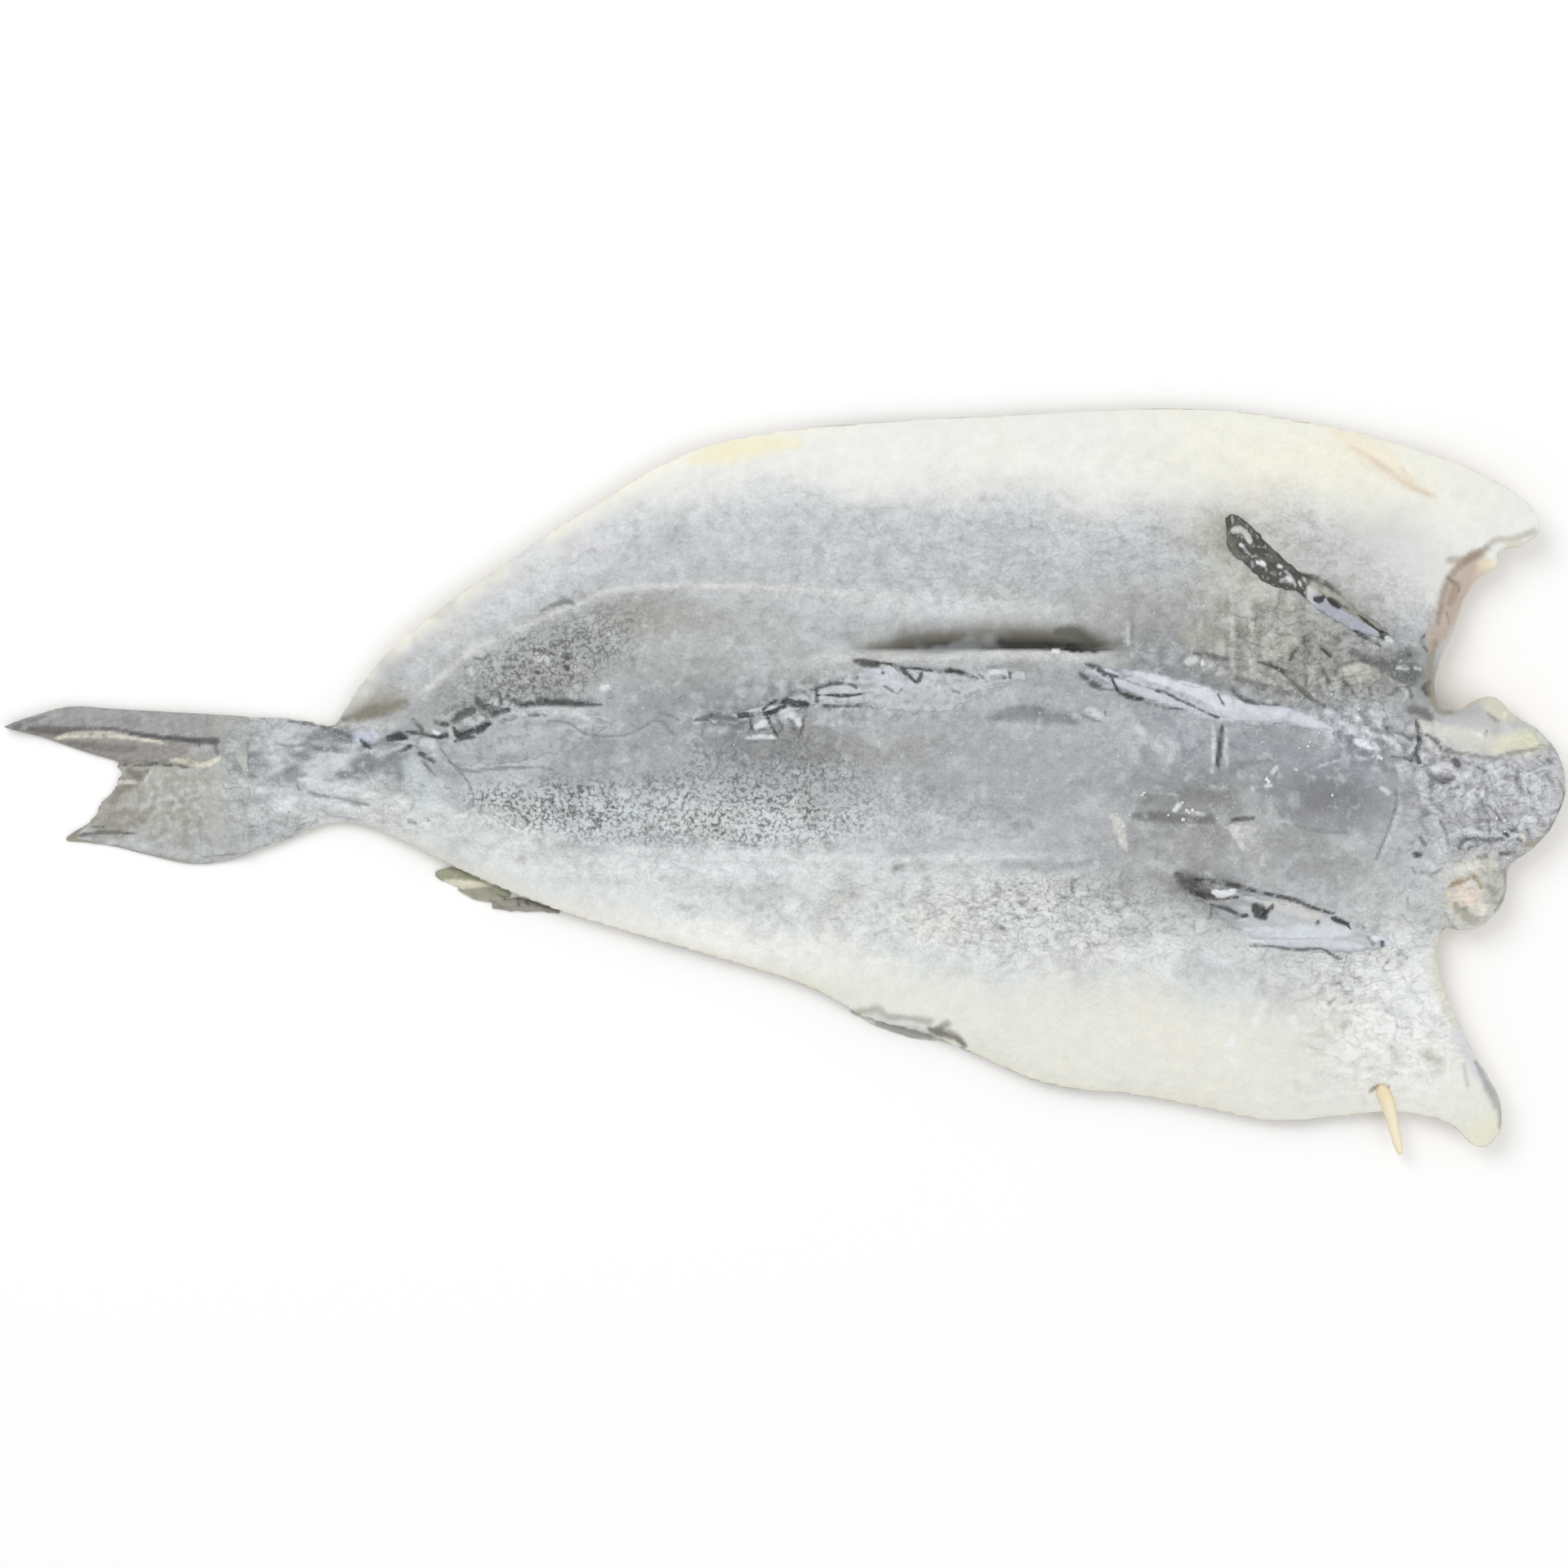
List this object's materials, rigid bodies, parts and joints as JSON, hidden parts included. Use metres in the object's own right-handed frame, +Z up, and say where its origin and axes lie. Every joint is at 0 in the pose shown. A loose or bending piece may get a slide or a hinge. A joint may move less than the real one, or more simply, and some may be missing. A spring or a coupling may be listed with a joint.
{
  "type": "salted fish",
  "caption": "Salt-cured split cod, head off, opened along the belly and laid flat with its grey skin side up, fins dried onto the skin.",
  "frame": {"origin": "under the middle of the fish, on the surface that it lies on", "axes": "+X from the tail to the neck cut, +Y towards the fish's left side, +Z up out of the skin side"},
  "size_m": [0.5996, 0.2881, 0.0312],
  "materials": {
    "skin": "salt-frosted grey skin, cream on the belly and the flesh side, matt with a slight damp gloss",
    "tail": "dried grey-brown skin over fin rays",
    "dark_fin": "dried charcoal fin with white salt specks",
    "back_fin": "dried lilac-grey fin, matt",
    "pale_fin": "thin dried fin, cream and olive grey, slightly translucent",
    "spine": "horny cream-yellow, semi-matt"
  },
  "bodies": {
    "root": {"split_body": "skin", "tail_fin": "tail", "left_pectoral_fin": "dark_fin", "right_pectoral_fin": "dark_fin", "first_dorsal_fin": "back_fin", "second_dorsal_fin": "back_fin", "third_dorsal_fin": "back_fin", "first_anal_fin": "pale_fin", "second_anal_fin": "pale_fin", "right_pelvic_fin": "spine"}
  },
  "joints": []
}
